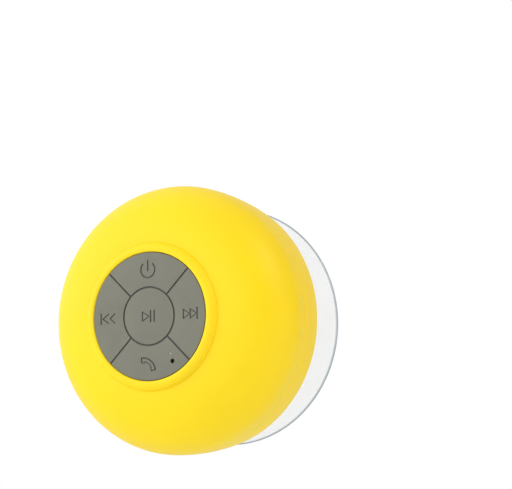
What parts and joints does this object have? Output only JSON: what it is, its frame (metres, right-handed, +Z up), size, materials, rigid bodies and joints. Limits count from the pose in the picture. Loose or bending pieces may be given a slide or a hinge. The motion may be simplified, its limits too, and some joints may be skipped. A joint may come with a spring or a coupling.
{
  "type": "shower speaker",
  "caption": "Round silicone-covered speaker with a press-key pad on the front and a clear suction cup behind.",
  "frame": {"origin": "centre of the suction cup's sealing lip, on the wall", "axes": "+Y into the wall, so the keys face -Y; +Z up; +X to the right as the user sees it"},
  "size_m": [0.086, 0.0553, 0.086],
  "materials": {
    "silicone": "soft matte",
    "band": "soft matte",
    "keypad": "matte",
    "inner_shell": "moulded",
    "rear_plate": "moulded",
    "cup": "clear soft plastic",
    "seal": "soft",
    "screw": "zinc plated",
    "board": "solder mask",
    "tin": "tinned",
    "chip": "moulded",
    "capacitor": "sleeved can",
    "lamp": "clear",
    "cell": "foil pouch",
    "steel": "plated",
    "magnet": "ferrite",
    "frame": "black",
    "coil": "enamelled copper",
    "cone": "mylar",
    "spider": "impregnated cloth",
    "wire": "insulated"
  },
  "bodies": {
    "cup": {"suction_cup": "cup"},
    "key_play": {"key_play": "keypad", "switch_stem_play": "chip"},
    "key_power": {"key_power": "keypad", "switch_stem_power": "chip"},
    "key_next": {"key_next": "keypad", "switch_stem_next": "chip"},
    "key_call": {"key_call": "keypad", "switch_stem_call": "chip"},
    "key_previous": {"key_previous": "keypad", "switch_stem_previous": "chip"},
    "cone": {"voice_coil": "coil", "driver_cone": "cone", "dust_cap": "cone"},
    "port_cover": {"port_cover": "silicone"},
    "housing": {"amplifier_chip": "chip", "battery": "cell", "battery_tape": "seal", "battery_wires": "wire", "board_screws": "screw", "capacitors": "capacitor", "charger_chip": "chip", "charging_board": "board", "charging_board_pads": "inner_shell", "charging_socket": "tin", "driver_frame": "frame", "driver_gasket": "seal", "driver_magnet": "magnet", "driver_spider": "spider", "driver_surround": "seal", "driver_top_plate": "steel", "driver_yoke": "steel", "front_shell": "inner_shell", "key_web": "keypad", "light_pipe": "lamp", "main_board": "board", "microphone": "tin", "microphone_boot": "seal", "plate_seal": "seal", "radio_module": "board", "radio_shield": "tin", "rear_band": "band", "rear_plate": "rear_plate", "shell_gasket": "seal", "shell_screws": "screw", "silicone_cover": "silicone", "socket_tongue": "chip", "speaker_wires": "wire", "status_light": "lamp", "switch_call": "tin", "switch_next": "tin", "switch_play": "tin", "switch_power": "tin", "switch_previous": "tin"}
  },
  "joints": [
    {"name": "cup_swivel", "type": "hinge", "parent": "cup", "child": "housing", "pos_m": [0, -0.017, 0], "axis": [0, 1, 0], "continuous": true},
    {"name": "play_press", "type": "slide", "parent": "housing", "child": "key_play", "axis": [0, 1, 0], "range_m": [0, 0.0005], "stiffness_N_per_m": 300},
    {"name": "power_press", "type": "slide", "parent": "housing", "child": "key_power", "axis": [0, 1, 0], "range_m": [0, 0.0005], "stiffness_N_per_m": 300},
    {"name": "next_press", "type": "slide", "parent": "housing", "child": "key_next", "axis": [0, 1, 0], "range_m": [0, 0.0005], "stiffness_N_per_m": 300},
    {"name": "call_press", "type": "slide", "parent": "housing", "child": "key_call", "axis": [0, 1, 0], "range_m": [0, 0.0005], "stiffness_N_per_m": 300},
    {"name": "previous_press", "type": "slide", "parent": "housing", "child": "key_previous", "axis": [0, 1, 0], "range_m": [0, 0.0005], "stiffness_N_per_m": 300},
    {"name": "cone_travel", "type": "slide", "parent": "housing", "child": "cone", "axis": [0, 1, 0], "range_m": [-0.0006, 0.0006], "stiffness_N_per_m": 500, "deforming": ["driver_surround", "driver_spider"]},
    {"name": "port_cover_hinge", "type": "hinge", "parent": "housing", "child": "port_cover", "pos_m": [-0.04235, -0.0265, 0.00605], "axis": [0, 1, 0], "range_deg": [0, 100]}
  ]
}
